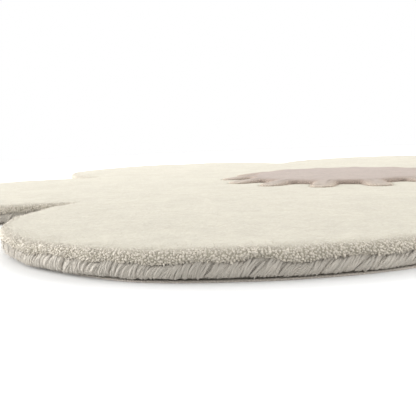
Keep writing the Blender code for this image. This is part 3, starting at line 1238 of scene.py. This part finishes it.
class RUG_OT_binding(bpy.types.Operator):
    """Whip the edge with packets of yarn turns round a core of the same yarn, painted a little darker as
    shade
    """

    bl_idname = "rug.binding"
    bl_label = "Whipped binding"

    def execute(self, context):
        rug, yarn = context.scene.rug_sizes, context.scene.rug_yarn
        whole = flower_line(rug)
        length = float(run_along(whole[0] - TURN_INSET * whole[1])[-1])
        line = evenly(whole, round(length / yarn.strand_pitch), TURN_INSET)
        finish = wool("binding_yarn", yarn.binding, YARN_FINISH)
        first = yarn.seed + SEEDS["turns"]
        place = {"jitter": 0.05, "sizes": (0.95, 1.05)}
        for part in range(PARTS):
            guide = strand_guide("edge_spots", yarn, line, part)
            kinds = [strand(f"strand_{k}", yarn, first + k) for k in range(TURN_KINDS)]
            seed = yarn.seed + SEEDS["binding"] + part
            turns = along_edge(f"binding_{part + 1}", guide, kinds, finish, seed, **place)
            dressed(turns, "binding_yarn", "binding")
        fine = evenly(whole, CORE_POINTS, CORE_INSET)
        tall = turn_height(fine[0], yarn.seed)
        rings = [ring(fine, inset, height * tall) for inset, height in BINDING_CORE]
        core = body_of("binding_core", rings, closed=True)
        # Painted shade: the core is the binding yarn made a little darker.
        colour = [0.96 * c for c in yarn.binding]
        core.data.materials.append(wool("binding_core", colour, CORE_FINISH))
        dressed(core, "binding_yarn")
        return {"FINISHED"}


class RUG_OT_fibres(bpy.types.Operator):
    """Let fine loose fibres stand out of the pile's edge and of the binding"""

    bl_idname = "rug.fibres"
    bl_label = "Loose fibres"

    def execute(self, context):
        rug, yarn = context.scene.rug_sizes, context.scene.rug_yarn
        line = evenly(flower_line(rug), FIBRE_LINE_POINTS, PILE_INSET)
        pile = pile_edge_rings(line, FIBRE_LINE_RINGS, yarn.seed)[1:9]
        edge = [ring(line, FIBRE_INSET, height) for height in FIBRE_HEIGHTS]
        # Painted light: the loose fibres are their yarn made lighter, the binding's fibres much lighter.
        cream = wool("cream_fibres", [min(1.0, 1.1 * c) for c in yarn.cream], PILE_FINISH)
        grey = wool("binding_fibres", [min(1.0, 1.6 * c) for c in yarn.binding], PILE_FINISH)
        length = yarn.fibre_length
        shape = {"length": length, "radius": 0.00006, "steps": 2}
        self.stand("pile_fibres", pile, cream, "cream_pile", shape, rise=-0.3, spacing=0.0026, tilt=1.0)
        shape = {"length": 1.2 * length, "radius": 0.0001, "steps": 1}
        self.stand("edge_fibres", edge, grey, "binding_yarn", shape, rise=0.6, spacing=0.00122, tilt=1.4)
        shape = {"length": yarn.stray_length, "radius": 0.00009, "steps": 3}
        self.stand("strays", pile[:4], cream, "cream_pile", shape, rise=-2.5, spacing=0.022, tilt=0.5)
        return {"FINISHED"}

    def stand(self, name, rings, finish, slot, shape, rise, spacing, tilt):
        """Fibres of one shape all over the rings."""
        guide = guide_of("fibre_guide", rings, even_marks(rings, rise, sink=-0.0006))
        kinds = [fibre(f"fibre_{k}", bend=bend, **shape) for k, bend in enumerate(FIBRE_BENDS)]
        seed = bpy.context.scene.rug_yarn.seed + SEEDS["fibres"]
        fibres = scattered(name, guide, kinds, finish, seed, spacing, tilt, sizes=(0.6, 1.5))
        points = np.empty(3 * len(fibres.data.vertices))
        fibres.data.vertices.foreach_get("co", points)
        high = points[2::3]
        eased = FIBRE_EASE * np.exp(np.minimum(high / FIBRE_EASE - 1, 0))
        points[2::3] = np.where(high < FIBRE_EASE, eased, high)
        fibres.data.vertices.foreach_set("co", points)
        dressed(fibres, slot)


def floor_finish():
    """A plain white matt floor."""
    material, _, shader = finish_of("floor")
    shader.inputs["Base Color"].default_value = (0.65, 0.65, 0.645, 1.0)
    shader.inputs["Roughness"].default_value = 0.9
    shader.inputs["Specular IOR Level"].default_value = 0.1
    return material


def soft_box(name, watts, wide, high, place):
    """A broad soft light that faces the rug's centre."""
    lamp = bpy.data.lights.new(name, "AREA")
    lamp.shape = "RECTANGLE"
    lamp.size = wide
    lamp.size_y = high
    lamp.energy = watts
    holder = object_of(name, lamp)
    aim = (-place).to_track_quat("-Z", "Y").to_matrix().to_4x4()
    holder.matrix_world = Matrix.Translation(place) @ aim


def white_room(stage):
    """White surroundings, whose light on the rug is set apart from the white that the camera sees."""
    world = bpy.data.worlds.new("white_room")
    world.use_nodes = True
    nodes = Nodes(world.node_tree)
    white = (1.0, 1.0, 1.0, 1.0)
    light = world.node_tree.nodes["Background"]
    light.inputs["Color"].default_value = white
    light.inputs["Strength"].default_value = stage.room
    backdrop = nodes.add("ShaderNodeBackground", None, Color=white, Strength=1.0)
    seen = nodes.add("ShaderNodeLightPath").outputs["Is Camera Ray"]
    both = {"at_1": light.outputs[0], "at_2": backdrop.outputs[0]}
    mixed = nodes.add("ShaderNodeMixShader", None, at_0=seen, **both)
    nodes.feed(world.node_tree.nodes["World Output"].inputs["Surface"], mixed.outputs[0])
    return world


class RUG_OT_stage(bpy.types.Operator):
    """Set the floor, the soft studio light and the camera at the photograph's place"""

    bl_idname = "rug.stage"
    bl_label = "Stage"

    def execute(self, context):
        stage = context.scene.rug_stage
        bpy.ops.mesh.primitive_circle_add(vertices=96, radius=FLOOR_RADIUS, fill_type="NGON")
        floor = context.object
        floor.name = "floor"
        floor.data.materials.append(floor_finish())
        context.scene.world = white_room(stage)
        lamp = bpy.data.lights.new("overhead", "SUN")
        lamp.energy = stage.overhead
        lamp.angle = stage.overhead_spread
        holder = object_of("overhead", lamp)
        facing = Matrix.Rotation(stage.camera_heading, 4, "Z")
        back = Matrix.Rotation(-stage.overhead_back, 4, "X")
        left = Matrix.Rotation(-stage.overhead_left, 4, "Y")
        holder.matrix_world = Matrix.Translation((0.0, 0.0, 2.0)) @ facing @ back @ left
        start = Vector(stage.camera_place)
        forward = facing @ Vector((0.0, 1.0, 0.0))
        right = facing @ Vector((1.0, 0.0, 0.0))
        for name, wide, high, ahead, aside, above in SOFT_BOXES:
            place = start + ahead * forward + aside * right + Vector((0.0, 0.0, above))
            soft_box(name, getattr(stage, name), wide, high, place)
        camera = bpy.data.cameras.new("camera")
        camera.sensor_width = SENSOR
        camera.lens = SENSOR * stage.focal_pixels / PHOTO_SIDE
        camera.clip_start = 0.01
        seen = object_of("camera", camera)
        tipped = Matrix.Rotation(math.pi / 2 - stage.camera_pitch, 4, "X")
        rolled = Matrix.Rotation(-stage.camera_roll, 4, "Z")
        seen.matrix_world = Matrix.Translation(stage.camera_place) @ facing @ tipped @ rolled
        context.scene.camera = seen
        context.scene.view_settings.view_transform = "Standard"
        return {"FINISHED"}


class RUG_PT_panel(bpy.types.Panel):
    """The steps that dress the rug, in order"""

    bl_idname = "RUG_PT_panel"
    bl_label = "Flower rug"
    bl_space_type = "VIEW_3D"
    bl_region_type = "UI"
    bl_category = "Rug"

    def draw(self, context):
        for step in STEPS:
            self.layout.operator(step.bl_idname)


STEPS = (
    RUG_OT_backing,
    RUG_OT_cream_pile,
    RUG_OT_pile_edge,
    RUG_OT_centre,
    RUG_OT_binding,
    RUG_OT_fibres,
    RUG_OT_stage,
)
GROUPS = {"rug_sizes": RugSizes, "rug_yarn": RugYarn, "rug_stage": RugStage}


def register():
    for group in (*GROUPS.values(), *STEPS, RUG_PT_panel):
        bpy.utils.register_class(group)
    for name, group in GROUPS.items():
        setattr(bpy.types.Scene, name, PointerProperty(type=group))


def unregister():
    for name in GROUPS:
        delattr(bpy.types.Scene, name)
    for group in reversed((*GROUPS.values(), *STEPS, RUG_PT_panel)):
        bpy.utils.unregister_class(group)


def main():
    register()
    for step in STEPS:
        group, name = step.bl_idname.split(".")
        getattr(getattr(bpy.ops, group), name)()


if __name__ == "__main__":
    main()
